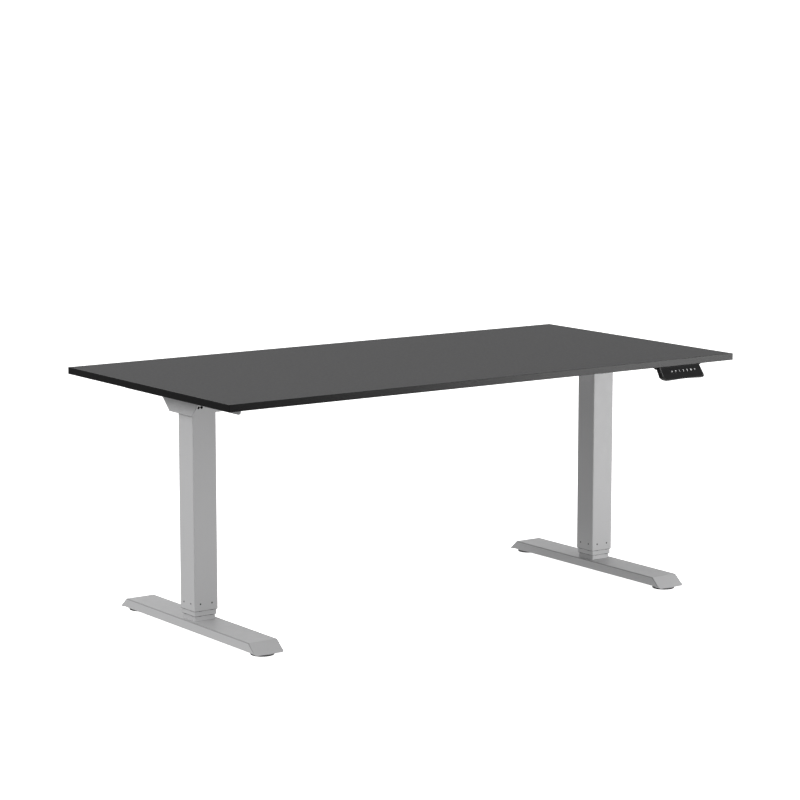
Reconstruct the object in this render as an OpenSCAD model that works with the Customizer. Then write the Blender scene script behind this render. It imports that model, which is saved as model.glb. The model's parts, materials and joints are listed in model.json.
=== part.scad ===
// Height adjustable standing desk with two three-stage columns, one motor in each, at its lowest height.
// Origin: on the floor, in the middle of the whole object. +X runs along the desktop, -Y is the user's side.

/* [Desktop] */
// Length of the desktop
desk_w = 1600; // [1500:10:1800]
// Depth of the desktop
desk_d = 800; // [700:10:800]
// Thickness of the desktop
desk_t = 18; // [18:1:25]
// Height of the working surface at its lowest
desk_h = 647; // [647:1:660]

/* [Columns] */
// Distance from the middle of the desk to each column's axis
col_x = 650; // [600:5:680]
// Outside width of the fixed upper tube
outer_w = 70; // [70:1:70]
// Step in outside width from one tube to the next
tube_step = 5; // [5:1:5]
// Wall of each tube
tube_wall = 1.5; // [1.5:0.1:1.5]
// Reveal of each tube under the next when fully lowered
reveal = 13.3; // [12:0.1:16]

/* [Feet] */
// Length of the foot along its bottom edge
foot_l = 670; // [600:5:700]
// Width of the foot
foot_w = 85; // [80:1:90]
// Height of the foot's top face over the floor
foot_top = 33.5; // [32:0.5:36]
// Diameter of the levelling pads
pad_d = 60; // [50:1:60]

/* [Handset] */
// Length of the handset
hand_w = 140; // [136:1:180]
// Place of the handset along the desktop
hand_x = 608; // [500:1:640]
// How far the handset stands out in front of the desktop
hand_out = 24; // [20:1:30]

/* [Hidden] */

$fn = 48;
eps = 0.01;
touch = 0.1;                    // running clearance of a glide, a thread or a journal
gap = 0.3;                      // clearance between pieces that move past each other

// The handset stands out at the front, so the desk sits half of that further back.
desk_y = hand_out / 2;
under = desk_h - desk_t;        // underside of the desktop
band_t = 1;                     // edge band
screw_r = 2;                    // wood screw
screw_depth = 14;

// Column heads: folded housings under the desktop, with the bracket plate on their outer end.
head_z = desk_h - 80;
head_top = under - 3;
head_w = outer_w;
head_in = 250;                  // inboard end, from the column's axis
head_out = 46;                  // outboard end
sheet = 2;
bracket_t = 3;
bracket_z = desk_h - 81.5;
bracket_bottom_y = 55;          // half width along the plate's lower edge
bracket_flare_y = 88;           // half width where the plate meets its arms
arm_y = 285;                    // half length of the bracket's arms
arm_z = desk_h - 49;
arm_r = 10;
flange_w = 58;
bracket_screw_y = [-265, -165, -75, 75, 165, 265];
bolt_r = 3;
beam_bolt_z = head_z + 24;
plate_bolt_y = [-20, 20];
plate_bolt_z = [desk_h - 41, desk_h - 28];

// Tubes of a column, outermost first.
middle_w = outer_w - tube_step;
inner_w = middle_w - tube_step;
outer_z = foot_top + 2 * reveal;
middle_z = foot_top + reveal;
outer_top = head_z;
middle_top = outer_top - 14;
inner_top = middle_top - 23;
tube_corner = 3;
glide_w = 8;
glide_y = 17;                   // sideways place of the glides and their pegs
glide_l = 45;
peg_r = 2.3;
peg_up = 17.5;                  // pegs over the tube's lower edge
collar_t = 0.8;
end_plate_t = 6;

// Telescopic spindle: a solid one in the head turns inside a hollow one in the middle tube.
drive_r = 6.5;
hollow_r = 11;
hollow_bore = 8;
spindle_z = 150;
carrier_t = 12;
nut_t = 20;
thread_pitch = 4;
thread_depth = 0.7;

// Worm drive in the head.
teeth = 28;
module_mm = 0.8;
wheel_r = teeth * module_mm / 2;
wheel_t = 8;
wheel_pocket_r = wheel_r + 2;
worm_r = 3.8;
worm_shaft_r = 2.5;
worm_y = wheel_r + worm_r;
worm_len = 14;
drive_z = head_z + 23;          // height of the worm's axis
motor_r = 17.5;
motor_len = 85;
gearbox_x = 28;                 // where the gearbox ends and the motor begins
gearbox_h = 41;
gear_bolt_x = [-16.5, -7.5];
gear_bolt_z = desk_h - 64.5;
gear_bolt_r = 1.8;
motor_bolt_turns = [60, -60];
motor_bolt_place = 12;

// Crossbeam between the heads.
beam_w = head_w - 2 * sheet - 0.4;
beam_z = head_z + sheet + 0.2;
beam_top = head_z + 47;
beam_x = col_x - 150;
beam_bolt_x = [beam_x - 20, beam_x - 75];

// Control box behind the crossbeam, and the leads that run into it.
box_w = 230;
box_y = 60;
box_d = 95;
box_h = 40;
box_wall = 2;
inlet_y = box_y + 60;
inlet_z = under - 20;
lead_r = 2.5;
lead_bend = 12;
lead_in_x = 60;
motor_lead_z = drive_z + 11;
hand_lead_r = 2;
hand_lead_z = under - 10;
hand_lead_y = box_y + 45;
hand_bend = 10;
lead_turn_x = 310;
lead_end = 7;                   // a lead's end, inside the box's wall

// Foot.
foot_sheet = 2.5;
foot_z = 10;                    // lower edge of the sides
foot_tip_z = 6.5;               // lower edge of the sloped ends
foot_slope = 33;                // run of the sloped ends
foot_bolt_r = 4;
foot_bolt_at = 16;
leveller_y = 300;
stud_r = 4;
foot_tip_r = 6;                 // rounding of the lower corners of the sloped ends

// Handset and its keys.
face_drop = 31;
face_run = hand_out - 1.5;
face_len = norm([face_run, face_drop]);
face_tilt = atan2(face_drop, face_run);
face_t = 1.5;
face_plate_h = face_len - 5;
hand_depth = 78;
lip_r = 11;
lip_t = 4.3;                    // height of the rounded lip under the face
lip_sag = 2.5;                  // the lip's lower edge is this much higher in its middle
nose_y = 11;                    // rear of the nose, under the desktop
pod_w = 84;
pod_h = 14;
hand_lead_x = 30;               // the lead leaves this far from the handset's middle
key_w = 10.5;
key_h = 12;
key_pitch = 13.4;
key_count = 7;
key_first = -34.4;              // first key, from the handset's middle
key_drop = 14.5;                // keys' centre, down the face

// ---- Shared shapes -------------------------------------------------------------------------------

module in_desk() {
    translate([0, desk_y, 0]) children();
}

// Each column is drawn about its own axis with +X inboard, and the right one is turned by half a turn.
module at_left() {
    translate([-col_x, desk_y, 0]) children();
}

module at_right() {
    translate([col_x, desk_y, 0]) rotate([0, 0, 180]) children();
}

module round_square(size, r) {
    square([size - 2 * r, size], center = true);
    square([size, size - 2 * r], center = true);
    for (sx = [-1, 1], sy = [-1, 1])
        translate([sx * (size / 2 - r), sy * (size / 2 - r)]) circle(r);
}

module round_rect(w, d, r) {
    square([w - 2 * r, d], center = true);
    square([w, d - 2 * r], center = true);
    for (sx = [-1, 1], sy = [-1, 1])
        translate([sx * (w / 2 - r), sy * (d / 2 - r)]) circle(r);
}

module rod_x(r, x0, x1) {
    translate([x0, 0, 0]) rotate([0, 90, 0]) cylinder(r = r, h = x1 - x0);
}

module rod_y(r, y0, y1) {
    translate([0, y0, 0]) rotate([-90, 0, 0]) cylinder(r = r, h = y1 - y0);
}

module rod_z(r, z0, z1) {
    translate([0, 0, z0]) cylinder(r = r, h = z1 - z0);
}

// A tube of one stage, with a hole through each face for every glide peg at the given heights.
module stage_tube(w, z0, z1, peg_heights) {
    difference() {
        translate([0, 0, z0]) linear_extrude(z1 - z0) difference() {
            round_square(w, tube_corner);
            round_square(w - 2 * tube_wall, tube_corner - tube_wall);
        }
        for (turn = [0:90:270], s = [-1, 1], z = peg_heights)
            rotate([0, 0, turn]) translate([0, s * glide_y, z])
                rod_x(peg_r + touch, w / 2 - 2 * tube_wall, w / 2 + 1);
    }
}

// Glides at a tube's mouth: strips inside its wall, with pegs out through the wall and a foot under it,
// all joined by a thin collar under the tube's edge.
module mouth_glides(w, z0) {
    inside = w / 2 - tube_wall;
    strip_t = (tube_step - 2 * tube_wall) / 2 - touch;
    translate([0, 0, z0 - collar_t]) linear_extrude(collar_t) difference() {
        round_square(w - 0.6, tube_corner);
        round_square(2 * (inside - strip_t), tube_corner);
    }
    for (turn = [0:90:270], s = [-1, 1]) rotate([0, 0, turn]) translate([0, s * glide_y, 0]) {
        translate([inside - strip_t, -glide_w / 2, z0 - 1.4]) cube([strip_t, glide_w, glide_l]);
        translate([inside - strip_t, -glide_w / 2, z0 - 1.4]) cube([strip_t + tube_wall - 0.3, glide_w, 1.4]);
        translate([0, 0, z0 + peg_up]) rod_x(peg_r, inside - strip_t, w / 2 - 0.4);
    }
}

// Glides at the inner end of a tube: strips outside its wall, with pegs in through the wall.
module tail_glides(w, z1) {
    strip_t = (tube_step - 2 * tube_wall) / 2 - touch;
    for (turn = [0:90:270], s = [-1, 1]) rotate([0, 0, turn]) translate([0, s * glide_y, 0]) {
        translate([w / 2, -glide_w / 2, z1 - glide_l]) cube([strip_t, glide_w, glide_l - 1]);
        translate([0, 0, z1 - peg_up]) rod_x(peg_r, w / 2 - tube_wall + 0.1, w / 2 + strip_t);
    }
}

// A screw thread drawn as rings: lands at full radius with shallow grooves between them.
module ringed_rod(r, z0, z1) {
    difference() {
        rod_z(r, z0, z1);
        for (z = [z0 + thread_pitch : thread_pitch : z1 - thread_pitch])
            translate([0, 0, z]) rotate_extrude()
                polygon([[r - thread_depth, -0.5], [r + 1, -1.2], [r + 1, 1.2], [r - thread_depth, 0.5]]);
    }
}

// Button-head bolt along +Z with its head's seat at z = 0 and its socket on top.
module button_bolt(r, length) {
    difference() {
        union() {
            rod_z(r, -length, 0.5);
            intersection() {
                rod_z(2 * r, 0, 1.2 * r);
                translate([0, 0, -1.5 * r]) sphere(2.6 * r);
            }
        }
        rod_z_hex(0.7 * r, 0.5 * r, 2 * r);
    }
}

module rod_z_hex(r, z0, z1) {
    translate([0, 0, z0]) cylinder(r = r, h = z1 - z0, $fn = 6);
}

// Pan-head wood screw pointing up, with its head's seat at z = 0.
module wood_screw(length) {
    difference() {
        union() {
            rod_z(screw_r, -0.5, length - 3);
            translate([0, 0, length - 3]) cylinder(r1 = screw_r, r2 = 0.4, h = 3);
            translate([0, 0, -2.2]) cylinder(r1 = 3.2, r2 = 4, h = 2.2);
        }
        for (turn = [0, 90]) rotate([0, 0, turn]) translate([-2, -0.5, -2.7]) cube([4, 1, 1.6]);
    }
}

// ---- Desktop -------------------------------------------------------------------------------------

// Where each wood screw goes, and how far under the desktop its head sits.
function screw_places() = concat(
    [for (side = [-1, 1], y = bracket_screw_y) [side * (col_x + 25), y, bracket_t]],
    [for (side = [-1, 1], y = [box_y + 20, box_y + box_d - 20]) [side * (box_w / 2 + 8), y, box_wall]],
    [for (side = [-1, 1]) [hand_x + side * 60, 40 - desk_d / 2, bracket_t]]
);

module desktop_board() {
    color("#3b3b3d") in_desk() difference() {
        translate([-desk_w / 2 + band_t, -desk_d / 2 + band_t, under])
            cube([desk_w - 2 * band_t, desk_d - 2 * band_t, desk_t]);
        for (p = screw_places())
            translate([p.x, p.y, under - eps]) cylinder(r = screw_r, h = screw_depth + eps);
    }
}

module desktop_edge_bands() {
    color("#262628") in_desk() translate([0, 0, under]) {
        for (side = [-1, 1]) {
            translate([-desk_w / 2, side * (desk_d - band_t) / 2 - band_t / 2, 0])
                cube([desk_w, band_t, desk_t]);
            translate([side * (desk_w - band_t) / 2 - band_t / 2, -desk_d / 2 + band_t + eps, 0])
                cube([band_t, desk_d - 2 * band_t - 2 * eps, desk_t]);
        }
    }
}

module desktop_screws() {
    color("#8c8c8c") in_desk() for (p = screw_places())
        translate([p.x, p.y, under - p.z]) wood_screw(p.z + screw_depth - 1);
}

// ---- Frame under the desktop ---------------------------------------------------------------------

// Folded channel, open upwards, that slides into both column heads.
module crossbeam() {
    color("#b4b4b4") in_desk() difference() {
        translate([-beam_x, -beam_w / 2, beam_z]) cube([2 * beam_x, beam_w, beam_top - beam_z]);
        translate([-beam_x - 1, -beam_w / 2 + sheet, beam_z + sheet])
            cube([2 * beam_x + 2, beam_w - 2 * sheet, beam_top - beam_z]);
        for (x = beam_bolt_x, side = [-1, 1])
            translate([side * x, 0, beam_bolt_z]) rod_y(bolt_r, -beam_w, beam_w);
        for (side = [-1, 1])
            translate([side * lead_in_x, 0, motor_lead_z]) rod_y(lead_r + 2.5, 0, beam_w);
    }
}

// Bolts that join a column head to the crossbeam, to its bracket plate and to its gearbox.
module head_bolts() {
    for (x = beam_bolt_x, side = [-1, 1])
        translate([col_x - x, side * head_w / 2, beam_bolt_z]) rotate([-90 * side, 0, 0])
            button_bolt(bolt_r, 9);
    for (y = plate_bolt_y, z = plate_bolt_z)
        translate([-head_out - bracket_t, y, z]) rotate([0, -90, 0]) button_bolt(bolt_r, 9);
    for (x = gear_bolt_x, side = [-1, 1])
        translate([x, side * head_w / 2, gear_bolt_z]) rotate([-90 * side, 0, 0]) button_bolt(gear_bolt_r, 6);
}

module frame_bolts() {
    color("#1c1c1e") {
        at_left() head_bolts();
        at_right() head_bolts();
    }
}

// Side plate of a column head: a deep trapezoid over the tube, two arms, and a flange under the desktop.
module bracket() {
    color("#b4b4b4") difference() {
        union() {
            translate([-head_out, 0, 0]) rotate([90, 0, -90]) linear_extrude(bracket_t) {
                polygon([
                    [-bracket_bottom_y, bracket_z], [bracket_bottom_y, bracket_z],
                    [bracket_flare_y, arm_z], [arm_y - arm_r, arm_z], [arm_y - arm_r, under],
                    [arm_r - arm_y, under], [arm_r - arm_y, arm_z], [-bracket_flare_y, arm_z]
                ]);
                for (side = [-1, 1]) {
                    translate([side * (arm_y - arm_r), arm_z + arm_r]) circle(arm_r);
                    translate([side * (arm_y - arm_r) - arm_r, arm_z + arm_r])
                        square([2 * arm_r, under - arm_z - arm_r]);
                }
            }
            translate([-head_out - bracket_t, -arm_y, under - bracket_t])
                cube([flange_w, 2 * arm_y, bracket_t]);
        }
        for (y = bracket_screw_y)
            translate([-25, y, 0]) rod_z(screw_r, under - 2 * bracket_t, under + 1);
        for (y = plate_bolt_y, z = plate_bolt_z)
            translate([0, y, z]) rod_x(bolt_r, -head_out - 2 * bracket_t, -head_out + 1);
    }
}

// Folded channel, open upwards, welded on top of the upper tube, with a closed outer end.
module head_housing() {
    wide = head_w - 2 * sheet;
    color("#b4b4b4") difference() {
        translate([-head_out, -head_w / 2, head_z]) cube([head_out + head_in, head_w, head_top - head_z]);
        translate([-head_out + sheet, -wide / 2, head_z + sheet])
            cube([head_out + head_in, wide, head_top - head_z]);
        rod_z(drive_r + 3, head_z - 1, head_z + 3 * sheet);
        for (x = beam_bolt_x)
            translate([col_x - x, 0, beam_bolt_z]) rod_y(bolt_r, -head_w, head_w);
        for (x = gear_bolt_x)
            translate([x, 0, gear_bolt_z]) rod_y(gear_bolt_r, -head_w, head_w);
        for (y = plate_bolt_y, z = plate_bolt_z)
            translate([0, y, z]) rod_x(bolt_r, -head_out - 1, -head_out + 2 * sheet);
    }
}

// ---- Drive of a column ---------------------------------------------------------------------------

// Gearbox casting with a pocket for the worm wheel and a bore for the worm beside it.
module gearbox() {
    wide = beam_w;
    color("#8f9296") difference() {
        translate([-26, -wide / 2, head_z + sheet + 0.1]) cube([26 + gearbox_x, wide, gearbox_h]);
        rod_z(drive_r + touch, head_z, head_z + 60);
        rod_z(wheel_pocket_r, drive_z - wheel_t / 2 - gap, drive_z + wheel_t / 2 + gap);
        translate([0, worm_y, drive_z]) {
            rod_x(worm_r + module_mm + 2 * gap, -worm_len / 2 - 1, worm_len / 2 + 1);
            rod_x(worm_shaft_r + touch, -20, gearbox_x + 1);
        }
        for (x = gear_bolt_x)
            translate([x, 0, gear_bolt_z]) rod_y(gear_bolt_r, -wide, wide);
        for (turn = motor_bolt_turns)
            translate([0, worm_y, drive_z]) rotate([turn, 0, 0]) translate([0, motor_bolt_place, 0])
                rod_x(1, gearbox_x - 8, gearbox_x + 1);
    }
}

// Direct-current motor: a drawn can with a boss at its front and a lead gland on its rear cap.
module motor() {
    color("#2b2b2d") translate([0, worm_y, drive_z]) difference() {
        union() {
            rod_x(motor_r, gearbox_x, gearbox_x + motor_len - 4);
            rod_x(motor_r - 1.5, gearbox_x, gearbox_x + motor_len);
            translate([0, 0, motor_lead_z - drive_z])
                rod_x(lead_r + 1.5, gearbox_x, gearbox_x + motor_len + 4);
        }
        rod_x(worm_shaft_r + touch, gearbox_x - 1, gearbox_x + motor_len / 2);
        translate([0, 0, motor_lead_z - drive_z])
            rod_x(lead_r, gearbox_x + motor_len - 4, gearbox_x + motor_len + 5);
        for (turn = motor_bolt_turns)
            rotate([turn, 0, 0]) translate([0, motor_bolt_place, 0]) rod_x(1, gearbox_x - 1, gearbox_x + 8);
    }
}

// One point of the worm's end profile: the thread's height falls away on both sides of its crest.
function worm_point(a) =
    let (
        along = abs(a) / 360 * PI * module_mm,
        crest = 0.13,
        fall = (along - crest) / tan(20),
        r = max(worm_r - 1.25 * module_mm, min(worm_r + module_mm, worm_r + module_mm - fall))
    )
    [r * cos(a), r * sin(a)];

// Worm with a single right-hand thread, on the end of the motor's shaft.
module worm() {
    pitch = PI * module_mm;
    color("#c9ccd0") translate([0, worm_y, drive_z]) {
        rod_x(worm_shaft_r, -18, -worm_len / 2 + eps);
        rod_x(worm_shaft_r, worm_len / 2 - eps, gearbox_x + motor_len / 2 - 2);
        translate([-worm_len / 2, 0, 0]) rotate([0, 90, 0])
            linear_extrude(worm_len, twist = -360 * worm_len / pitch, slices = round(12 * worm_len / pitch))
                polygon([for (a = [-180:15:165]) worm_point(a)]);
    }
}

module worm_wheel() {
    step = 360 / teeth;
    root_r = wheel_r - 1.25 * module_mm;
    tip_r = wheel_r + module_mm;
    root_half = 0.3 * step;
    tip_half = 0.1 * step;
    color("#c8a24a") difference() {
        translate([0, 0, drive_z - wheel_t / 2]) linear_extrude(wheel_t) polygon([
            for (i = [0 : teeth - 1], corner = [[root_r, -root_half], [tip_r, -tip_half], [tip_r, tip_half],
                [root_r, root_half]])
                let (a = 90 + (i + 0.5) * step + corner.y) [corner.x * cos(a), corner.x * sin(a)]
        ]);
        rod_z(drive_r, drive_z - wheel_t, drive_z + wheel_t);
    }
}

// Solid spindle: journals in the gearbox, a collar over the head's floor and a thread below.
module drive_spindle() {
    color("#c4c6c9") {
        ringed_rod(drive_r, spindle_z, head_z - 3);
        rod_z(drive_r, head_z - 3 - eps, head_z + 44);
        rod_z(drive_r + 2, head_z - 3, head_z + 2);
    }
}

// Hollow spindle: its head is a nut for the solid one, and runs in the middle tube's carrier.
module hollow_spindle() {
    z_low = spindle_z - 20;
    z_top = middle_top + 5;
    color("#b8babd") difference() {
        union() {
            ringed_rod(hollow_r, z_low, middle_top - carrier_t - 4);
            rod_z(hollow_r, middle_top - carrier_t - 4 - eps, z_top);
            rod_z(hollow_r + 3, middle_top - carrier_t - 4, middle_top - carrier_t - gap);
            rod_z(hollow_r + 3, middle_top + gap, z_top);
        }
        rod_z(hollow_bore, z_low - 1, middle_top - 10);
        rod_z(drive_r + touch, middle_top - 10 - eps, z_top + 1);
    }
}

// ---- Tubes of a column ---------------------------------------------------------------------------

module outer_tube() {
    color("#b4b4b4") stage_tube(outer_w, outer_z, outer_top, [outer_z + peg_up]);
}

module outer_glides() {
    color("#1c1c1e") mouth_glides(outer_w, outer_z);
}

// Middle tube with the carrier plate that holds the hollow spindle at its top.
module middle_tube() {
    color("#b4b4b4") {
        stage_tube(middle_w, middle_z, middle_top, [middle_z + peg_up, middle_top - peg_up]);
        difference() {
            translate([0, 0, middle_top - carrier_t]) linear_extrude(carrier_t)
                square(middle_w - 2 * tube_wall + eps, center = true);
            rod_z(hollow_r + touch, middle_top - 2 * carrier_t, middle_top + 1);
            for (turn = [0:90:270], s = [-1, 1])
                rotate([0, 0, turn]) translate([0, s * glide_y, middle_top - peg_up])
                    rod_x(peg_r + 3 * touch, middle_w / 2 - 4 * tube_wall, middle_w / 2);
        }
    }
}

module middle_glides() {
    color("#1c1c1e") {
        mouth_glides(middle_w, middle_z);
        tail_glides(middle_w, middle_top);
    }
}

// Inner tube with a tapped end plate that the foot's bolts run into.
module inner_tube() {
    color("#b4b4b4") {
        stage_tube(inner_w, foot_top, inner_top, [inner_top - peg_up]);
        difference() {
            translate([0, 0, foot_top]) linear_extrude(end_plate_t)
                square(inner_w - 2 * tube_wall + eps, center = true);
            for (x = [-1, 1], y = [-1, 1])
                translate([x * foot_bolt_at, y * foot_bolt_at, 0])
                    rod_z(foot_bolt_r, foot_top - 1, foot_top + 10);
        }
    }
}

module inner_glides() {
    color("#1c1c1e") tail_glides(inner_w, inner_top);
}

// Plastic nut of the hollow spindle, in the top of the inner tube.
module spindle_nut() {
    color("#e8e6df") difference() {
        translate([0, 0, inner_top - nut_t - 2]) linear_extrude(nut_t)
            round_square(inner_w - 2 * tube_wall - 0.1, tube_corner);
        rod_z(hollow_r + touch, inner_top - nut_t - 3, inner_top);
    }
}

// ---- Feet ----------------------------------------------------------------------------------------

// Side outline of the foot, with ends that slope down past its lower edge.
module foot_outline() {
    half = foot_l / 2;
    polygon([
        [-half, foot_tip_z], [-half + foot_slope, foot_top], [half - foot_slope, foot_top],
        [half, foot_tip_z], [half - 26, foot_z], [-half + 26, foot_z]
    ]);
}

// Front outline of the foot, with rounded lower corners.
module foot_front() {
    for (side = [-1, 1])
        translate([side * (foot_w / 2 - foot_tip_r), foot_tip_z + foot_tip_r]) circle(foot_tip_r);
    translate([foot_tip_r - foot_w / 2, foot_tip_z]) square([foot_w - 2 * foot_tip_r, foot_top]);
    translate([-foot_w / 2, foot_tip_z + foot_tip_r]) square([foot_w, foot_top]);
}

// Side outline of the hollow under the foot.
module foot_hollow() {
    half = foot_l / 2 - foot_sheet * 1.3;
    low = foot_tip_z - 10;
    run = foot_slope / (foot_top - foot_tip_z);
    polygon([
        [-half - 10 * run, low], [-half + foot_slope - foot_sheet * run, foot_top - foot_sheet],
        [half - foot_slope + foot_sheet * run, foot_top - foot_sheet], [half + 10 * run, low]
    ]);
}

// Folded foot with sloped ends, the column's bolt holes, and a welded nut for each leveller.
module foot_beam() {
    color("#b4b4b4") difference() {
        union() {
            difference() {
                intersection() {
                    rotate([90, 0, 90]) translate([0, 0, -foot_w / 2]) linear_extrude(foot_w) foot_outline();
                    rotate([90, 0, 0]) translate([0, 0, -foot_l]) linear_extrude(2 * foot_l) foot_front();
                }
                rotate([90, 0, 90]) translate([0, 0, -foot_w / 2 + foot_sheet])
                    linear_extrude(foot_w - 2 * foot_sheet) foot_hollow();
            }
            intersection() {
                rotate([90, 0, 90]) translate([0, 0, -foot_w / 2]) linear_extrude(foot_w) foot_outline();
                for (y = [-1, 1])
                    translate([0, y * leveller_y, 0])
                        rod_z(stud_r * 2, foot_top - 18, foot_top - foot_sheet + eps);
            }
        }
        for (y = [-1, 1])
            translate([0, y * leveller_y, 0]) rod_z(stud_r + touch / 2, foot_top - 19, foot_top - foot_sheet);
        for (x = [-1, 1], y = [-1, 1])
            translate([x * foot_bolt_at, y * foot_bolt_at, 0])
                rod_z(foot_bolt_r, foot_top - 10, foot_top + 1);
    }
}

// Four bolts up through the foot into the column's end plate.
module foot_bolts() {
    color("#8c8c8c") for (x = [-1, 1], y = [-1, 1])
        translate([x * foot_bolt_at, y * foot_bolt_at, foot_top - foot_sheet]) {
            rod_z(foot_bolt_r, -eps, foot_sheet + end_plate_t + 2);
            rod_z_hex(2 * foot_bolt_r - 0.5, -5.3, 0);
        }
}

// Levelling foot: a stud in a dished pad with a dark sole.
module leveller() {
    color("#3a3a3c") {
        rod_z(stud_r, 5, foot_top - foot_sheet - 0.5);
        rotate_extrude() polygon([
            [0, 0], [pad_d / 2 - 0.5, 0], [pad_d / 2, 0.6], [pad_d / 2, 3], [pad_d / 2 - 6, 8.6],
            [8, 9], [0, 9]
        ]);
    }
}

// ---- Control box ---------------------------------------------------------------------------------

// Upper shell of the control box, with its screw ears and its connector openings.
module control_box_base() {
    color("#1c1c1e") in_desk() difference() {
        union() {
            translate([-box_w / 2, box_y, under - box_h + box_wall]) cube([box_w, box_d, box_h - box_wall]);
            translate([-box_w / 2 - 16, box_y + 8, under - box_wall])
                cube([box_w + 32, box_d - 16, box_wall]);
        }
        translate([-box_w / 2 + box_wall, box_y + box_wall, under - box_h])
            cube([box_w - 2 * box_wall, box_d - 2 * box_wall, box_h - box_wall]);
        for (side = [-1, 1]) {
            translate([side * lead_in_x, box_y + box_wall / 2, motor_lead_z])
                cube([12, 2 * box_wall, 10], center = true);
            for (y = [box_y + 20, box_y + box_d - 20])
                translate([side * (box_w / 2 + 8), y, 0]) rod_z(screw_r, under - 2 * box_wall, under + 1);
        }
        translate([box_w / 2 - box_wall / 2, hand_lead_y, hand_lead_z])
            cube([2 * box_wall, 10, 8], center = true);
        translate([-box_w / 2 + box_wall / 2, inlet_y, inlet_z]) cube([2 * box_wall, 27, 20], center = true);
    }
}

// Lower cover of the control box: a plate with a rim inside the shell.
module control_box_lid() {
    rim = box_wall + 0.1;
    color("#222224") in_desk() translate([0, box_y + box_d / 2, under - box_h]) difference() {
        union() {
            translate([-box_w / 2, -box_d / 2, 0]) cube([box_w, box_d, box_wall]);
            translate([-box_w / 2 + rim, -box_d / 2 + rim, box_wall - eps])
                cube([box_w - 2 * rim, box_d - 2 * rim, 2]);
        }
        translate([-box_w / 2 + 2 * rim, -box_d / 2 + 2 * rim, box_wall])
            cube([box_w - 4 * rim, box_d - 4 * rim, 3]);
        for (i = [-6:6])
            translate([i * 12 - 1, -15, -1]) cube([2, 30, box_wall + 2]);
    }
}

// Circuit board of the control box with its connectors: two motors, the handset and the mains inlet.
module control_board() {
    color("#2f6b3a") in_desk() {
        translate([-box_w / 2 + 8, box_y + 8, under - 30]) cube([box_w - 16, box_d - 16, 1.6]);
        for (side = [-1, 1]) difference() {
            translate([side * lead_in_x - 5.8, box_y, motor_lead_z - 4.8]) cube([11.6, 16, 9.6]);
            translate([side * lead_in_x, 0, motor_lead_z]) rod_y(lead_r, box_y - 1, box_y + lead_end);
        }
        difference() {
            union() {
                translate([box_w / 2 - 16, hand_lead_y - 4.8, under - 30 + 0.5])
                    cube([16 - box_wall - gap, 9.6, hand_lead_z - under + 30 + 3.3]);
                translate([box_w / 2 - 10, hand_lead_y - 4.8, hand_lead_z - 3.8]) cube([10, 9.6, 7.6]);
            }
            translate([0, hand_lead_y, hand_lead_z]) rod_x(hand_lead_r, box_w / 2 - lead_end, box_w / 2 + 1);
        }
        difference() {
            translate([-box_w / 2, inlet_y - 13.4, inlet_z - 9.9]) cube([20, 26.8, 19.8]);
            translate([-box_w / 2 - 1, inlet_y - 11, inlet_z - 7.5]) cube([17, 22, 15]);
        }
        for (pin = [[-7, -2], [0, 3], [7, -2]])
            translate([-box_w / 2 + 3, inlet_y + pin.x - 1, inlet_z + pin.y - 2]) cube([14, 2, 4]);
    }
}

// ---- Leads held under the desktop ----------------------------------------------------------------

// A quarter turn of a lead in the XY plane: from the -Y side of the bend's centre round to its +X side.
module elbow(r, bend) {
    rotate([0, 0, -90]) rotate_extrude(angle = 90) translate([bend, 0]) circle(r);
}

// Lead from a motor's gland along the crossbeam and out through its rear wall to the control box.
module motor_lead(side, y) {
    motor_end = col_x - gearbox_x - motor_len;
    color("#151516") in_desk() translate([0, 0, motor_lead_z]) mirror([side < 0 ? 0 : 1, 0, 0]) {
        translate([0, y, 0]) rod_x(lead_r, -motor_end - 4, -lead_in_x - lead_bend);
        translate([-lead_in_x - lead_bend, y + lead_bend, 0]) elbow(lead_r, lead_bend);
        translate([-lead_in_x, 0, 0]) rod_y(lead_r, y + lead_bend, box_y + lead_end);
    }
}

// Lead from the handset's rear, along under the desktop, over the crossbeam and into the control box.
module handset_lead() {
    x0 = hand_x - hand_lead_x;
    y0 = hand_depth - hand_out - desk_d / 2;
    y1 = y0 + 20;
    color("#151516") in_desk() translate([0, 0, hand_lead_z]) {
        translate([x0, 0, 0]) rod_y(hand_lead_r, y0 - 6, y1);
        translate([x0 - hand_bend, y1, 0]) mirror([0, 1, 0]) elbow(hand_lead_r, hand_bend);
        translate([0, y1 + hand_bend, 0]) rod_x(hand_lead_r, lead_turn_x + hand_bend, x0 - hand_bend);
        translate([lead_turn_x + hand_bend, y1 + 2 * hand_bend, 0]) mirror([1, 0, 0])
            elbow(hand_lead_r, hand_bend);
        translate([lead_turn_x, 0, 0]) rod_y(hand_lead_r, y1 + 2 * hand_bend, hand_lead_y - hand_bend);
        translate([lead_turn_x - hand_bend, hand_lead_y - hand_bend, 0]) mirror([0, 1, 0])
            elbow(hand_lead_r, hand_bend);
        translate([0, hand_lead_y, 0]) rod_x(hand_lead_r, box_w / 2 - lead_end, lead_turn_x - hand_bend);
    }
}

// Adhesive saddle clip over a lead that runs along X.
module lead_clip() {
    difference() {
        union() {
            translate([-7, -9, -1.6]) cube([14, 18, 1.6]);
            translate([-5, -5, hand_lead_z - under - 4]) cube([10, 10, under - hand_lead_z + 4]);
        }
        translate([0, 0, hand_lead_z - under]) rod_x(hand_lead_r, -8, 8);
    }
}

module lead_clips() {
    y_front = hand_depth - hand_out - desk_d / 2 + 20 + hand_bend;
    color("#2b2b2d") in_desk() translate([0, 0, under]) {
        for (x = [380, 480])
            translate([x, y_front, 0]) lead_clip();
        for (y = [-220, -110, 70])
            translate([lead_turn_x, y, 0]) rotate([0, 0, 90]) lead_clip();
        translate([200, hand_lead_y, 0]) lead_clip();
    }
}

// ---- Handset -------------------------------------------------------------------------------------

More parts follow.
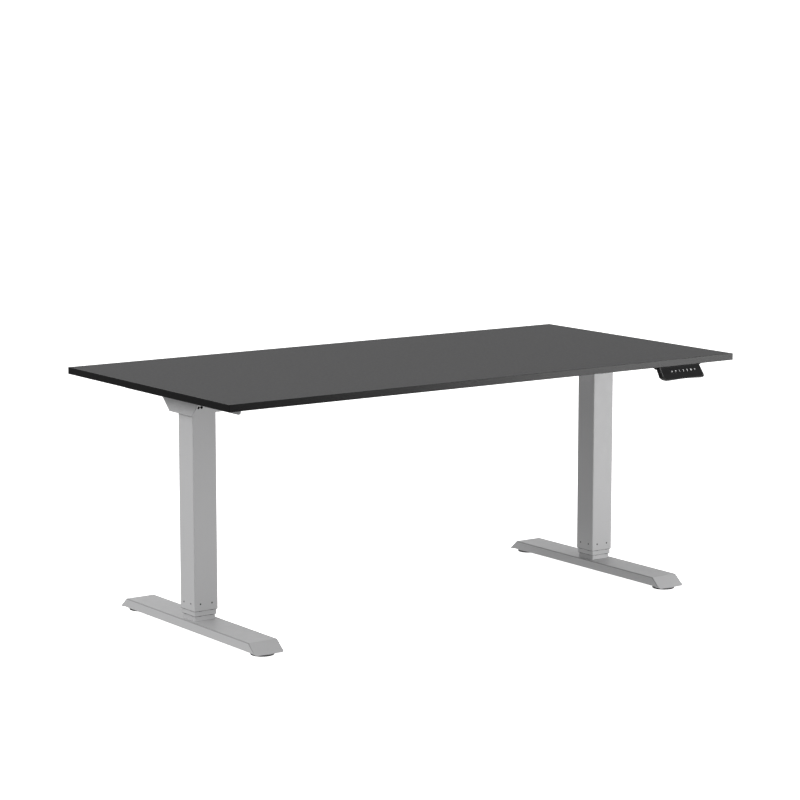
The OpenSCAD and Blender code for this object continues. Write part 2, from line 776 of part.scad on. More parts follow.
// The handset is drawn about the middle of the desktop's lower front edge.
module at_handset() {
    translate([hand_x, desk_y - desk_d / 2, under]) children();
}

// On the sloped face: +Y runs up the face, +Z out of it, and the origin is at the middle of its top edge.
module on_face() {
    translate([0, -1.5, -0.5]) rotate([face_tilt, 0, 0]) children();
}

module handset_bracket() {
    color("#1c1c1e") at_handset() difference() {
        translate([-hand_w / 2 - 9, 4, -bracket_t]) cube([hand_w + 18, 60, bracket_t]);
        for (side = [-1, 1])
            translate([side * 60, 40, 0]) rod_z(screw_r, -2 * bracket_t, 1);
    }
}

// Front outline of the handset: rounded lower corners and a lower edge that is hollow in its middle.
module handset_front() {
    low = -face_drop - lip_t;
    half = hand_w / 2;
    reach = half - lip_r;
    sag_r = (reach * reach + lip_sag * lip_sag) / (2 * lip_sag);
    difference() {
        union() {
            translate([-half, low + lip_r]) square([hand_w, face_drop + lip_t + 1 - lip_r]);
            translate([-reach, low]) square([2 * reach, lip_r + 1]);
            for (side = [-1, 1])
                translate([side * reach, low + lip_r]) circle(lip_r);
        }
        translate([0, low + lip_sag - sag_r]) circle(sag_r, $fn = 720);
    }
}

// Shell of the handset: a sloping nose with pockets for its panel and keys, and a narrower pod behind.
module handset_body() {
    rear_y = hand_depth - hand_out;
    low = -face_drop - lip_t;
    color("#1a1a1b") at_handset() difference() {
        union() {
            intersection() {
                rotate([90, 0, 90]) translate([0, 0, -hand_w / 2]) linear_extrude(hand_w) polygon([
                    [-1.5, -0.5], [-hand_out, -face_drop - 0.5], [0.8 - hand_out, low + 2],
                    [3.5 - hand_out, low + 0.3], [9 - hand_out, low], [nose_y - 19, low + 1.3],
                    [nose_y - 14, low + 4.3], [nose_y - 9.5, low + 9.3], [nose_y, -10],
                    [nose_y, -bracket_t], [1, -bracket_t], [1, -0.5]
                ]);
                rotate([90, 0, 0]) translate([0, 0, -rear_y]) linear_extrude(hand_depth + 1) handset_front();
            }
            translate([-pod_w / 2, nose_y - 3, -pod_h]) cube([pod_w, rear_y - nose_y + 3, pod_h - bracket_t]);
        }
        on_face() {
            translate([0, -face_len / 2 + 0.5, -face_t]) linear_extrude(5)
                round_rect(hand_w - 5, face_plate_h, 8);
            translate([-hand_w / 2 + 6, -key_drop - 8.5, -9]) cube([hand_w - 12, 17, 9]);
        }
        translate([-hand_lead_x, 0, hand_lead_z - under]) rod_y(hand_lead_r, rear_y - 6, rear_y + 1);
    }
}

// Glossy panel on the handset's slope, with an opening for each key.
module handset_face() {
    color("#0e0e0f") at_handset() on_face() difference() {
        translate([0, -face_len / 2 + 0.5, -face_t + 0.05]) linear_extrude(face_t)
            round_rect(hand_w - 5.2, face_plate_h - 0.2, 7.9);
        for (i = [0 : key_count - 1])
            translate([key_x(i), -key_drop, -face_t - 1]) linear_extrude(face_t + 2)
                round_rect(key_w + 2 * gap, key_h + 2 * gap, 1.8);
    }
}

function key_x(i) = key_first + i * key_pitch;

// A key: a cap in its opening, and a wider foot under the panel that keeps it in.
module key(i) {
    color("#141415") at_handset() on_face() translate([key_x(i), -key_drop, 0]) {
        translate([0, 0, -face_t - gap - eps]) linear_extrude(face_t + gap + eps + 0.4)
            round_rect(key_w, key_h, 1.5);
        translate([0, 0, -face_t - gap - 1.5]) linear_extrude(1.5)
            round_rect(key_w + 1.8, key_h + 3, 1.5);
    }
}

// ---- Nodes ---------------------------------------------------------------------------------------

desktop_board();
desktop_edge_bands();
desktop_screws();
crossbeam();
frame_bolts();
control_box_base();
control_box_lid();
control_board();
motor_lead(-1, worm_y);  // left_motor_lead
motor_lead(1, -worm_y);  // right_motor_lead
handset_lead();
lead_clips();
handset_bracket();
handset_body();
handset_face();
key(0);  // key_up
key(1);  // key_down
key(2);  // key_one
key(3);  // key_two
key(4);  // key_three
key(5);  // key_store
key(6);  // key_lock
at_left() bracket();  // left_bracket
at_left() head_housing();  // left_head_housing
at_left() gearbox();  // left_gearbox
at_left() motor();  // left_motor
at_left() worm();  // left_worm
at_left() worm_wheel();  // left_worm_wheel
at_left() drive_spindle();  // left_drive_spindle
at_left() outer_tube();  // left_outer_tube
at_left() outer_glides();  // left_outer_glides
at_left() middle_tube();  // left_middle_tube
at_left() middle_glides();  // left_middle_glides
at_left() hollow_spindle();  // left_hollow_spindle
at_left() inner_tube();  // left_inner_tube
at_left() inner_glides();  // left_inner_glides
at_left() spindle_nut();  // left_spindle_nut
at_left() foot_beam();  // left_foot_beam
at_left() foot_bolts();  // left_foot_bolts
at_left() translate([0, -leveller_y, 0]) leveller();  // left_front_leveller
at_left() translate([0, leveller_y, 0]) leveller();  // left_rear_leveller
at_right() bracket();  // right_bracket
at_right() head_housing();  // right_head_housing
at_right() gearbox();  // right_gearbox
at_right() motor();  // right_motor
at_right() worm();  // right_worm
at_right() worm_wheel();  // right_worm_wheel
at_right() drive_spindle();  // right_drive_spindle
at_right() outer_tube();  // right_outer_tube
at_right() outer_glides();  // right_outer_glides
at_right() middle_tube();  // right_middle_tube
at_right() middle_glides();  // right_middle_glides
at_right() hollow_spindle();  // right_hollow_spindle
at_right() inner_tube();  // right_inner_tube
at_right() inner_glides();  // right_inner_glides
at_right() spindle_nut();  // right_spindle_nut
at_right() foot_beam();  // right_foot_beam
at_right() foot_bolts();  // right_foot_bolts
at_right() translate([0, leveller_y, 0]) leveller();  // right_front_leveller
at_right() translate([0, -leveller_y, 0]) leveller();  // right_rear_leveller
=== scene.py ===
"""Looks of the height adjustable standing desk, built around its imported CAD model."""
import json
import math

import bmesh
import bpy
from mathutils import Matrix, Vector

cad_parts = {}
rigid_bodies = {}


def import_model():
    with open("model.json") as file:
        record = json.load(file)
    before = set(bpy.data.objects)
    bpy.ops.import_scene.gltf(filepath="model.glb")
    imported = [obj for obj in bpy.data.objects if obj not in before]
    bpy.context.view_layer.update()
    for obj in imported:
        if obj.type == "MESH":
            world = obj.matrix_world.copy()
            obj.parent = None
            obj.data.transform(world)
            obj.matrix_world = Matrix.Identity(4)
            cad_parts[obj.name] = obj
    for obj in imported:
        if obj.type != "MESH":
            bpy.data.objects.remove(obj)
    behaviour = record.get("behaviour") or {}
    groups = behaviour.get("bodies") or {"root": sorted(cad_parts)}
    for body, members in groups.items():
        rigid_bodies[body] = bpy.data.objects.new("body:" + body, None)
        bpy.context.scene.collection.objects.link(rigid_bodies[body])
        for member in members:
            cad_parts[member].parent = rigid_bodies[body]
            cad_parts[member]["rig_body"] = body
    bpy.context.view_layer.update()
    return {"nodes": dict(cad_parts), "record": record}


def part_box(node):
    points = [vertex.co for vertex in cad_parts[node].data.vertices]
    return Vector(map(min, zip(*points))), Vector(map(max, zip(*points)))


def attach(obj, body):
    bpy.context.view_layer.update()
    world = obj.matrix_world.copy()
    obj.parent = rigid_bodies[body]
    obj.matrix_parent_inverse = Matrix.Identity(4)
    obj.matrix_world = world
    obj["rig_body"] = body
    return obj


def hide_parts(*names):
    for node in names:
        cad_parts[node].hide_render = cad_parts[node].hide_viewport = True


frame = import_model()
nodes = frame["nodes"]
scene = bpy.context.scene
MM = 0.001

# ---- Materials ----------------------------------------------------------------------------------


class Surface:
    """A node material with a Principled shader; its textures use the piece's own coordinates."""

    def __init__(self, name, color, roughness, metallic=0.0, coat=0.0, specular=0.5):
        self.material = bpy.data.materials.new(name)
        self.material.use_nodes = True
        self.tree = self.material.node_tree
        self.shader = self.tree.nodes["Principled BSDF"]
        self.shader.inputs["Base Color"].default_value = (*color, 1)
        self.shader.inputs["Roughness"].default_value = roughness
        self.shader.inputs["Metallic"].default_value = metallic
        self.shader.inputs["Coat Weight"].default_value = coat
        self.shader.inputs["Specular IOR Level"].default_value = specular
        self.place = self.tree.nodes.new("ShaderNodeTexCoord").outputs["Object"]
        self.bumps = None

    def link(self, source, target):
        self.tree.links.new(source, target)

    def stretched(self, stretch):
        """The piece's coordinates, scaled along each axis."""
        mapping = self.tree.nodes.new("ShaderNodeMapping")
        mapping.inputs["Scale"].default_value = stretch
        self.link(self.place, mapping.inputs["Vector"])
        return mapping.outputs["Vector"]

    def noise(self, size, detail=3.0, stretch=None):
        """Noise whose features are about `size` metres across."""
        texture = self.tree.nodes.new("ShaderNodeTexNoise")
        texture.inputs["Scale"].default_value = 1 / size
        texture.inputs["Detail"].default_value = detail
        self.link(self.stretched(stretch) if stretch else self.place, texture.inputs["Vector"])
        return texture.outputs["Fac"]

    def cells(self, size):
        texture = self.tree.nodes.new("ShaderNodeTexVoronoi")
        texture.inputs["Scale"].default_value = 1 / size
        self.link(self.place, texture.inputs["Vector"])
        return texture.outputs["Distance"]

    def ramp(self, value, low, high, dark, light):
        """Maps value from low..high to the two colours or grey levels."""
        node = self.tree.nodes.new("ShaderNodeValToRGB")
        node.color_ramp.elements[0].position = low
        node.color_ramp.elements[1].position = high
        for element, tone in zip(node.color_ramp.elements, (dark, light)):
            element.color = (*tone, 1) if isinstance(tone, tuple) else (tone, tone, tone, 1)
        self.link(value, node.inputs["Fac"])
        return node.outputs["Color"]

    def mottle(self, value, low, high, dark, light):
        self.link(self.ramp(value, low, high, dark, light), self.shader.inputs["Base Color"])
        return self

    def roughen(self, value, low, high, smooth, rough):
        self.link(self.ramp(value, low, high, smooth, rough), self.shader.inputs["Roughness"])
        return self

    def bump(self, value, depth, strength=1.0):
        node = self.tree.nodes.new("ShaderNodeBump")
        node.inputs["Distance"].default_value = depth
        node.inputs["Strength"].default_value = strength
        self.link(value, node.inputs["Height"])
        if self.bumps:
            self.link(self.bumps, node.inputs["Normal"])
        self.bumps = node.outputs["Normal"]
        self.link(self.bumps, self.shader.inputs["Normal"])
        return self


def shade(color, factor):
    return tuple(c * factor for c in color)


def melamine():
    """Charcoal board surface: a fine pearl texture with a faint mottle."""
    color = (0.052, 0.052, 0.0533)
    s = Surface("charcoal_melamine", color, 0.6, specular=0.12)
    s.mottle(s.noise(0.0016, 5), 0.3, 0.72, shade(color, 0.9), shade(color, 1.1))
    s.roughen(s.noise(0.008, 3), 0.3, 0.7, 0.57, 0.62)
    s.bump(s.cells(0.0011), 0.00004, 0.5)
    s.bump(s.noise(0.0004, 2), 0.00002, 0.6)
    return s.material


def edge_band():
    """Near-black plastic edge band with the milling's fine lengthwise lines."""
    color = (0.0042, 0.0042, 0.0045)
    s = Surface("edge_band", color, 0.33, specular=0.155)
    s.mottle(s.noise(0.003, 3), 0.3, 0.7, shade(color, 0.85), shade(color, 1.2))
    s.roughen(s.noise(0.004, 3), 0.3, 0.7, 0.31, 0.35)
    s.bump(s.noise(0.0006, 3, (0.05, 0.05, 1)), 0.00003, 0.5)
    return s.material


def powder_coat(name, color, rough=0.46):
    """Satin powder coat with orange peel and a trace of grain in its colour."""
    s = Surface(name, color, rough, specular=0.45)
    s.mottle(s.noise(0.0009, 4), 0.3, 0.7, shade(color, 0.96), shade(color, 1.035))
    s.roughen(s.noise(0.02, 2), 0.3, 0.7, rough - 0.04, rough + 0.06)
    s.bump(s.noise(0.0022, 2), 0.00006, 0.55)
    s.bump(s.noise(0.0005, 3), 0.00002, 0.5)
    return s.material


def moulded(name, color, rough, grain=0.0008, depth=0.00004, coat=0.0):
    """Moulded plastic with a spark-eroded grain."""
    s = Surface(name, color, rough, coat=coat)
    s.mottle(s.noise(0.004, 3), 0.3, 0.7, shade(color, 0.88), shade(color, 1.12))
    s.roughen(s.noise(0.015, 3), 0.3, 0.7, rough - 0.04, rough + 0.05)
    s.bump(s.noise(grain, 3), depth, 0.6)
    return s.material


def gloss_black(name, color=(0.006, 0.006, 0.0065), rough=0.16):
    """Polished black panel with faint smears."""
    s = Surface(name, color, rough, coat=0.1, specular=0.2)
    s.roughen(s.noise(0.012, 4), 0.35, 0.75, rough - 0.05, rough + 0.09)
    s.mottle(s.noise(0.02, 3), 0.3, 0.7, shade(color, 0.9), shade(color, 1.15))
    s.bump(s.noise(0.01, 1), 0.00002, 0.2)
    return s.material


def metal(name, color, rough, stretch=(1, 1, 12), grain=0.002, scratch=0.00003):
    """Bare metal with turned or drawn lines; stretch squeezes the noise across the lines."""
    s = Surface(name, color, rough, metallic=1.0)
    s.mottle(s.noise(0.012, 4), 0.3, 0.75, shade(color, 0.78), shade(color, 1.08))
    s.roughen(s.noise(grain, 3, stretch), 0.3, 0.7, rough - 0.07, rough + 0.1)
    s.bump(s.noise(grain, 3, stretch), scratch, 0.5)
    return s.material


def black_finish():
    """Blackened steel: dull, with a slight cloudiness."""
    color = (0.009, 0.009, 0.0095)
    s = Surface("black_steel", color, 0.55, specular=0.12)
    s.mottle(s.noise(0.006, 4), 0.3, 0.7, shade(color, 0.8), shade(color, 1.3))
    s.roughen(s.noise(0.003, 3), 0.3, 0.7, 0.48, 0.62)
    s.bump(s.noise(0.0007, 3), 0.00003, 0.5)
    return s.material


def circuit_board():
    s = Surface("circuit_board", (0.02, 0.11, 0.045), 0.35)
    s.mottle(s.cells(0.006), 0.2, 0.6, (0.015, 0.085, 0.03), (0.03, 0.15, 0.06))
    s.bump(s.cells(0.006), 0.00005, 0.4)
    return s.material


SILVER = (0.495, 0.495, 0.5)
look = {
    "laminate": melamine(),
    "edge_band": edge_band(),
    "silver_paint": powder_coat("silver_powder_coat", SILVER),
    "black_steel": black_finish(),
    "zinc_steel": metal("zinc_plate", (0.55, 0.56, 0.57), 0.34),
    "ground_steel": metal("greased_steel", (0.5, 0.5, 0.51), 0.28),
    "casting": metal("die_casting", (0.42, 0.43, 0.44), 0.5, (1, 1, 1), 0.0012, 0.0001),
    "motor_can": powder_coat("motor_enamel", (0.03, 0.03, 0.032), 0.4),
    "bronze": metal("bronze", (0.62, 0.43, 0.2), 0.33),
    "glide_plastic": moulded("glide_plastic", (0.02, 0.02, 0.021), 0.45),
    "nut_plastic": moulded("acetal", (0.72, 0.7, 0.64), 0.38),
    "box_plastic": moulded("box_plastic", (0.03, 0.03, 0.032), 0.5, 0.0012, 0.00009),
    "board": circuit_board(),
    "cable": moulded("cable_sheath", (0.02, 0.02, 0.021), 0.55),
    "pad_plastic": moulded("pad_plastic", (0.42, 0.42, 0.423), 0.5),
    "handset_shell": moulded("handset_shell", (0.004, 0.004, 0.0043), 0.3, 0.0006, 0.00002),
    "handset_gloss": gloss_black("handset_panel"),
    "key_cap": gloss_black("key_cap", (0.008, 0.008, 0.0085), 0.22),
}
# Painted shade on the silver coat's rounded folds (darker, rougher) and painted highlight on the handset
# shell's (lighter black).
PAINTED_SHADE_AND_HIGHLIGHT = {
    "silver_paint": powder_coat("silver_fold_painted_shade", shade(SILVER, 0.62), 0.55),
    "handset_shell": moulded("handset_lip_painted_highlight", (0.085, 0.085, 0.087), 0.22, 0.0006, 0.00001, coat=0.5),
}
print_white = moulded("printed_symbol", (0.9, 0.9, 0.9), 0.45)
display_glass = gloss_black("display_window", (0.004, 0.004, 0.0045), 0.06)


def paint(obj, material):
    """Every material slot of a piece gets this material."""
    if not obj.material_slots:
        obj.data.materials.append(material)
    for slot in obj.material_slots:
        slot.material = material


SLOT_OF = {part["node"]: part["material_slot"] for part in frame["record"]["subparts"]}
for node_name, node_obj in nodes.items():
    paint(node_obj, look[SLOT_OF[node_name]])

# ---- Pieces with softened edges ------------------------------------------------------------------

# Angles in degrees: below the first a surface counts as flat, above the others an edge is shaded
# as sharp, is cut, or is a fold of the sheet.
FLAT_BELOW = 0.8
SHADED_SHARP = 50
CUT_EDGE = 38
SHEET_FOLD = 60
# Room that rounding an edge needs beside it and along it, as multiples of its radius.
ROOM_BESIDE_FOLD = 3.5
ROOM_ALONG_FOLD = 4
ROOM_BESIDE_EDGE = 2
WELD = 0.002 * MM
SHORTEST = 0.001 * MM


def body_of(node):
    return nodes[node]["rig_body"]


def weighted(obj):
    """Smooth shading that keeps large faces flat, with sharp edges where the angle is wide."""
    for face in obj.data.polygons:
        face.use_smooth = True
    modifier = obj.modifiers.new("normals", "WEIGHTED_NORMAL")
    modifier.weight = 100
    modifier.keep_sharp = True
    bpy.context.view_layer.update()
    done = bpy.data.meshes.new_from_object(obj.evaluated_get(bpy.context.evaluated_depsgraph_get()))
    obj.modifiers.clear()
    obj.data = done


def narrowest(edge):
    """Width of the narrower face beside an edge."""
    return min(face.calc_area() for face in edge.link_faces) / max(edge.calc_length(), SHORTEST)


def round_edges(b, edges, width, segments, slot=-1, clamp=True):
    """Rounds edges; a slot other than -1 gives the new faces a material slot of their own."""
    bmesh.ops.bevel(b, geom=edges, offset=width, segments=segments, profile=0.5, affect="EDGES",
                    clamp_overlap=clamp, offset_type="OFFSET", material=slot)


def sharp_edges(b, angle):
    least = math.radians(angle)
    return [e for e in b.edges if len(e.link_faces) == 2 and e.calc_face_angle(0) > least]


def is_wide_fold(edge, radius):
    """Whether an outer fold of the sheet has room for a radius."""
    roomy = narrowest(edge) > ROOM_BESIDE_FOLD * radius
    return roomy and edge.is_convex and edge.calc_length() > ROOM_ALONG_FOLD * radius


def kept_inside(b, node):
    """Brings back the vertices that rounding has put outside the CAD piece's box."""
    low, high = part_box(node)
    for vert in b.verts:
        vert.co = Vector(min(max(value, a), z) for value, a, z in zip(vert.co, low, high))


def softened(node, edge_mm, fold_mm=0.0):
    """A copy of a CAD piece that stands for it, with its wide folds and its other edges rounded."""
    mesh = nodes[node].data.copy()
    b = bmesh.new()
    b.from_mesh(mesh)
    bmesh.ops.remove_doubles(b, verts=b.verts, dist=WELD)
    bmesh.ops.dissolve_limit(b, angle_limit=math.radians(FLAT_BELOW), verts=b.verts, edges=b.edges)
    if fold_mm:
        wide = [e for e in sharp_edges(b, SHEET_FOLD) if is_wide_fold(e, fold_mm * MM)]
        # The rounded folds take slot 1, where some finishes carry a painted shade or painted highlight.
        round_edges(b, wide, fold_mm * MM, 5, slot=1, clamp=False)
    small = [e for e in sharp_edges(b, CUT_EDGE) if narrowest(e) > ROOM_BESIDE_EDGE * edge_mm * MM]
    round_edges(b, small, edge_mm * MM, 2)
    for edge in b.edges:
        edge.smooth = len(edge.link_faces) != 2 or edge.calc_face_angle(0) < math.radians(SHADED_SHARP)
    kept_inside(b, node)
    b.to_mesh(mesh)
    b.free()
    return finished(node + "_finished", mesh, node)


def finished(name, mesh, node):
    """An object whose mesh stands for a CAD node, with the node's finish."""
    slot = SLOT_OF[node]
    mesh.materials[0] = look[slot]
    # Slot 1, on the rounded folds: the darker silver is painted shade, the lighter handset black is
    # painted highlight.
    mesh.materials.append(PAINTED_SHADE_AND_HIGHLIGHT.get(slot, look[slot]))
    piece = bpy.data.objects.new(name, mesh)
    scene.collection.objects.link(piece)
    weighted(piece)
    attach(piece, body_of(node))
    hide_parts(node)
    return piece


def repaint(piece, material, is_there):
    """Gives the faces whose centre passes the test another material."""
    piece.data.materials.append(material)
    index = len(piece.data.materials) - 1
    for face in piece.data.polygons:
        if is_there(face.center):
            face.material_index = index


# Radius of a piece's cut edges and of its wide folds, in millimetres.
EDGES = {
    "desktop_edge_bands": (0.5, 0),
    "crossbeam": (0.3, 2.0),
    "control_box_base": (0.3, 1.5),
    "control_box_lid": (0.5, 0),
    "control_board": (0.15, 0),
    "handset_bracket": (0.3, 0),
    "handset_body": (0.3, 1.6),
    "handset_face": (0.15, 0),
    "lead_clips": (0.4, 0),
}
LEG_EDGES = {
    "bracket": (0.3, 0.8),
    "head_housing": (0.4, 0),
    "gearbox": (0.4, 1.2),
    "motor": (0.7, 0),
    "outer_tube": (0.3, 0),
    "middle_tube": (0.3, 0),
    "inner_tube": (0.3, 0),
    "foot_beam": (0.4, 2.2),
    "front_leveller": (0.4, 0),
    "rear_leveller": (0.4, 0),
}
for side in ("left", "right"):
    EDGES.update({f"{side}_{part}": radii for part, radii in LEG_EDGES.items()})
EDGES.update({name: (0.3, 0) for name in nodes if name.startswith("key_")})
shown = {name: softened(name, *radii) for name, radii in EDGES.items()}

# The handset's bracket is duller than the shell whose slot it shares.
repaint(shown["handset_bracket"], look["black_steel"], lambda c: True)

# Levelling feet: a rubber sole below, the pad, and a zinc-plated stud above.
SOLE_TOP = 3.2 * MM
PAD_TOP = 9.3 * MM
sole = moulded("rubber_sole", (0.018, 0.018, 0.018), 0.7, 0.0012, 0.00006)
for side in ("left", "right"):
    for end in ("front", "rear"):
        pad = shown[f"{side}_{end}_leveller"]
        repaint(pad, sole, lambda c: c.z < SOLE_TOP)
        repaint(pad, look["zinc_steel"], lambda c: c.z > PAD_TOP)

# Circuit board: nylon connectors on its top, and the black mains inlet at its left end.
board_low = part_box("control_board")[0]
BOARD_TOP = board_low.z + 1.7 * MM
INLET_END = board_low.x + 21 * MM
nylon = moulded("connector_nylon", (0.6, 0.58, 0.52), 0.45)
repaint(shown["control_board"], nylon, lambda c: c.z > BOARD_TOP)
repaint(shown["control_board"], look["box_plastic"], lambda c: c.z > BOARD_TOP and c.x < INLET_END)

# ---- Handset: display window and printed symbols -------------------------------------------------

# The shell's lip, in front of the panel and below it, gets a painted highlight: a lighter black than the
# rest of the shell, and glossier.
face_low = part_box("handset_face")[0]
LIP_BACK = face_low.y + 1.5 * MM
repaint(shown["handset_body"], PAINTED_SHADE_AND_HIGHLIGHT["handset_shell"],
        lambda c: c.z < face_low.z and c.y < LIP_BACK)

KEY_CENTRES = {name: sum(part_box(name), Vector()) / 2 for name in nodes if name.startswith("key_")}
# The panel rises by the first of these while it goes back by the second, in millimetres.
PANEL_RISE, PANEL_DEPTH = 31, 22.5
TILT = math.atan2(PANEL_RISE, PANEL_DEPTH)
UP_FACE = Vector((0, math.cos(TILT), math.sin(TILT)))
OUT = Vector((0, -math.sin(TILT), math.cos(TILT)))
ACROSS = Vector((1, 0, 0))


def highest(node, direction):
    """The node's greatest reach along a direction."""
    return max(v.co.dot(direction) for v in nodes[node].data.vertices)


def on_slope(centre, level):
    """Turns points given as (across, up, out) in millimetres into points on the handset's slope."""
    base = centre - OUT * centre.dot(OUT) + OUT * level
    return lambda p: base + (ACROSS * p[0] + UP_FACE * p[1] + OUT * p[2]) * MM


# Depth in millimetres by which raised shapes start below their surface, so that no gap shows.
SUNK = 0.02


def prisms(name, outlines, thick, place, node, material):
    """Flat raised shapes, one for each convex outline in millimetres."""
    b = bmesh.new()
    for outline in outlines:
        rims = [[b.verts.new(place((x, y, z))) for x, y in outline] for z in (-SUNK, thick)]
        b.faces.new(rims[1])
        b.faces.new(rims[0][::-1])
        for i in range(len(outline)):
            j = (i + 1) % len(outline)
            b.faces.new((rims[0][i], rims[0][j], rims[1][j], rims[1][i]))
    mesh = bpy.data.meshes.new(name)
    b.to_mesh(mesh)
    b.free()
    obj = bpy.data.objects.new(name, mesh)
    scene.collection.objects.link(obj)
    obj.data.materials.append(material)
    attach(obj, body_of(node))


def bars(points, width=0.9):
    """Outlines of a broken line drawn with a pen of that width."""
    outlines = []
    for (x0, y0), (x1, y1) in zip(points, points[1:]):
        along = Vector((x1 - x0, y1 - y0)).normalized() * width / 2
        dx, dy = along
        outlines.append([(x0 - dx + dy, y0 - dy - dx), (x1 + dx + dy, y1 + dy - dx),
                         (x1 + dx - dy, y1 + dy + dx), (x0 - dx - dy, y0 - dy + dx)])
    return outlines


def rounded(width, height, r, steps=5):
    """Outline of a rectangle with rounded corners."""
    points = []
    for cx, cy, start in ((1, -1, -90), (1, 1, 0), (-1, 1, 90), (-1, -1, 180)):
        for i in range(steps + 1):
            a = math.radians(start + 90 * i / steps)
            x = cx * (width / 2 - r) + r * math.cos(a)
            y = cy * (height / 2 - r) + r * math.sin(a)
            points.append((x, y))
    return points


# Generic symbols, as outlines in millimetres about each key's centre.
SYMBOLS = {
    "key_up": [[(-2.4, -1.9), (2.4, -1.9), (0, 2.4)]],
    "key_down": [[(-2.4, 1.9), (0, -2.4), (2.4, 1.9)]],
    "key_one": bars([(-1.2, 1.5), (0, 2.4), (0, -2.4)]),
    "key_two": bars([(-1.4, 1.7), (-0.6, 2.4), (0.8, 2.4), (1.4, 1.5), (1.1, 0.3), (-1.4, -2.4),
                     (1.5, -2.4)]),
    "key_three": bars([(-1.4, 2.4), (1.4, 2.4), (0, 0.5), (1.0, 0.2), (1.4, -1.0), (0.8, -2.3),
                       (-0.8, -2.4), (-1.4, -1.8)]),
    "key_store": [rounded(4.4, 4.2, 0.8)],
    "key_lock": [rounded(3.0, 2.4, 0.4)]
                + bars([(-0.9, 1.2), (-0.9, 2.0), (-0.4, 2.6), (0.4, 2.6), (0.9, 2.0), (0.9, 1.2)], 0.5),
}
PRINT_MM = 0.06
KEY_TOP = highest("key_up", OUT)
for key, outlines in SYMBOLS.items():
    prisms(key + "_symbol", outlines, PRINT_MM, on_slope(KEY_CENTRES[key], KEY_TOP), key, print_white)

# The display window lies on the panel, to the left of the keys.
WINDOW_MM = 0.12
window_centre = KEY_CENTRES["key_up"] - ACROSS * 19.5 * MM
window_place = on_slope(window_centre, highest("handset_face", OUT))
prisms("display_window", [rounded(21, 12.5, 1.5)], WINDOW_MM, window_place, "handset_face",
       display_glass)

# ---- Stage, light and camera ---------------------------------------------------------------------

FLOOR_GLOW = 1.0
FLOOR_DROP = 0.5 * MM
# Brightness of the world that lights the desk: on the camera's side, behind the desk, in a band
# just below the horizon, and under it.
WALL_NEAR = 0.55
WALL_FAR = 0.98
SKIRTING = 0.15
BELOW = 0.85
BEHIND_DESK = (0.577, 0.816, 0)
UP = (0, 0, 1)
# Each softbox: its place, the point it faces, its size in metres and its power in watts.
LIGHTS = {
    "left": ((-4.6, 0.2, 2.6), (-0.6, 0, 0.4), (2.0, 1.4), 108),
    "front_right": ((2.6, -2.9, 0.4), (0.2, 0, 0.4), (1.4, 0.9), 69),
}
# Where the camera stands, how far it turns to the right of the desk's depth and down, in degrees,
# and its lens and sensor in millimetres.
CAMERA_PLACE = (-4.1093, -5.7673, 1.6160)
CAMERA_YAW = 35.269
CAMERA_PITCH = 8.632
CAMERA_LENS = 121.1
CAMERA_SENSOR = 36


def stage_piece(name, corners, faces, material):
    """Part of the studio that is there for the camera only, so that it lights nothing."""
    mesh = bpy.data.meshes.new(name)
    mesh.from_pydata(corners, [], faces)
    mesh.materials.append(material)
    obj = bpy.data.objects.new(name, mesh)
    scene.collection.objects.link(obj)
    obj.visible_diffuse = False
    obj.visible_glossy = False
    return obj


def white_room(reach=30, steps=48):
    """A wide floor just under the pads, and a round wall far behind."""
    s = Surface("studio_white", (0.9, 0.9, 0.9), 0.9, specular=0.1)
    s.mottle(s.noise(0.5, 2), 0.3, 0.7, (0.89, 0.89, 0.89), (0.91, 0.91, 0.91))
    s.shader.inputs["Emission Color"].default_value = (1, 1, 1, 1)
    s.shader.inputs["Emission Strength"].default_value = FLOOR_GLOW
    square = [(-reach, -reach, 0), (reach, -reach, 0), (reach, reach, 0), (-reach, reach, 0)]
    floor = stage_piece("floor", square, [(0, 1, 2, 3)], s.material)
    floor.location.z = -FLOOR_DROP
    turns = [2 * math.pi * i / steps for i in range(steps)]
    rim = [(reach * math.cos(a), reach * math.sin(a), z) for z in (-1, reach) for a in turns]
    panels = [(i, (i + 1) % steps, steps + (i + 1) % steps, steps + i) for i in range(steps)]
    wall = stage_piece("wall", rim, panels, s.material)
    wall.visible_shadow = False


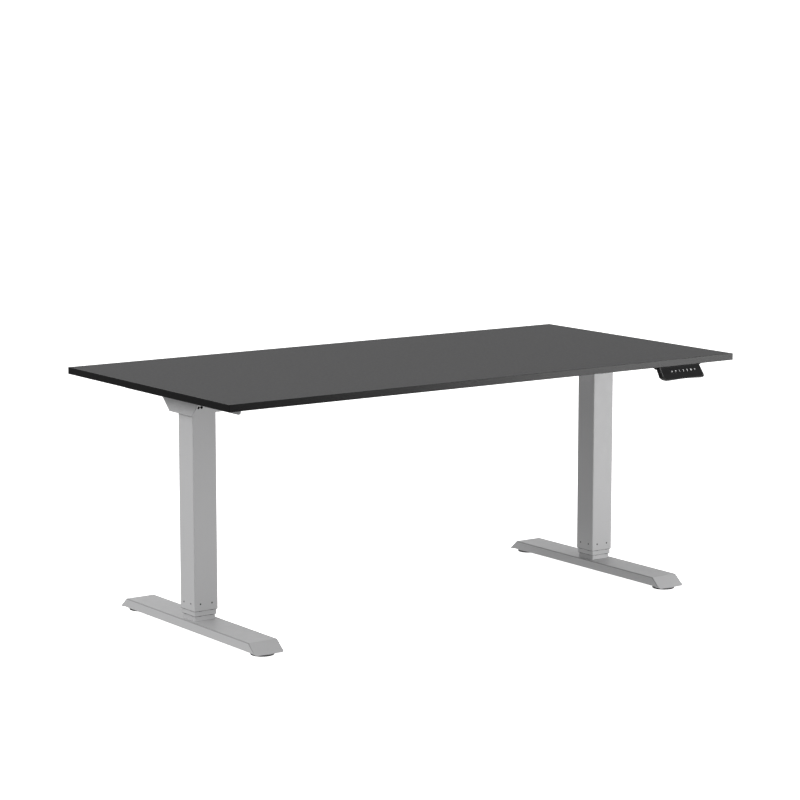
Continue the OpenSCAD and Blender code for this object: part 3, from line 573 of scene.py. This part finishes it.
def softbox(name, place, target, size, power):
    data = bpy.data.lights.new(name, "AREA")
    data.shape = "RECTANGLE"
    data.size, data.size_y = size
    data.energy = power
    obj = bpy.data.objects.new(name, data)
    obj.location = place
    obj.rotation_euler = (Vector(target) - Vector(place)).to_track_quat("-Z", "Y").to_euler()
    scene.collection.objects.link(obj)


def blend_by(tree, direction, axis, share_range, low, high):
    """Goes from low to high as the direction's share along the axis passes through a range."""
    along = tree.nodes.new("ShaderNodeVectorMath")
    along.operation = "DOT_PRODUCT"
    along.inputs[1].default_value = axis
    tree.links.new(direction, along.inputs[0])
    share = tree.nodes.new("ShaderNodeMapRange")
    share.inputs["From Min"].default_value = share_range[0]
    share.inputs["From Max"].default_value = share_range[1]
    tree.links.new(along.outputs["Value"], share.inputs["Value"])
    mix = tree.nodes.new("ShaderNodeMix")
    mix.inputs["Factor"].default_value = 0
    tree.links.new(share.outputs["Result"], mix.inputs["Factor"])
    for name, value in (("A", low), ("B", high)):
        if isinstance(value, float):
            mix.inputs[name].default_value = value
        else:
            tree.links.new(value, mix.inputs[name])
    return mix.outputs["Result"]


def studio_walls():
    """Light from all round: bright behind the desk, dimmer towards the camera, dark at the skirting."""
    world = bpy.data.worlds.new("studio")
    world.use_nodes = True
    tree = world.node_tree
    direction = tree.nodes.new("ShaderNodeTexCoord").outputs["Generated"]
    walls = blend_by(tree, direction, BEHIND_DESK, (0.0, 0.8), WALL_NEAR, WALL_FAR)
    ground = blend_by(tree, direction, UP, (-0.6, -0.3), BELOW, SKIRTING)
    room = blend_by(tree, direction, UP, (-0.1, 0.0), ground, walls)
    tree.links.new(room, tree.nodes["Background"].inputs["Color"])
    scene.world = world


def studio():
    studio_walls()
    for name, (place, target, size, power) in LIGHTS.items():
        softbox(name, place, target, size, power)
    scene.view_settings.view_transform = "Standard"


def camera():
    """Stands at the front left of the desk, at about standing eye height, with a long lens."""
    data = bpy.data.cameras.new("camera")
    data.sensor_width = CAMERA_SENSOR
    data.lens = CAMERA_LENS
    data.clip_end = 100
    obj = bpy.data.objects.new("camera", data)
    obj.location = CAMERA_PLACE
    obj.rotation_euler = (math.pi / 2 - math.radians(CAMERA_PITCH), 0, -math.radians(CAMERA_YAW))
    scene.collection.objects.link(obj)
    scene.camera = obj


white_room()
studio()
camera()
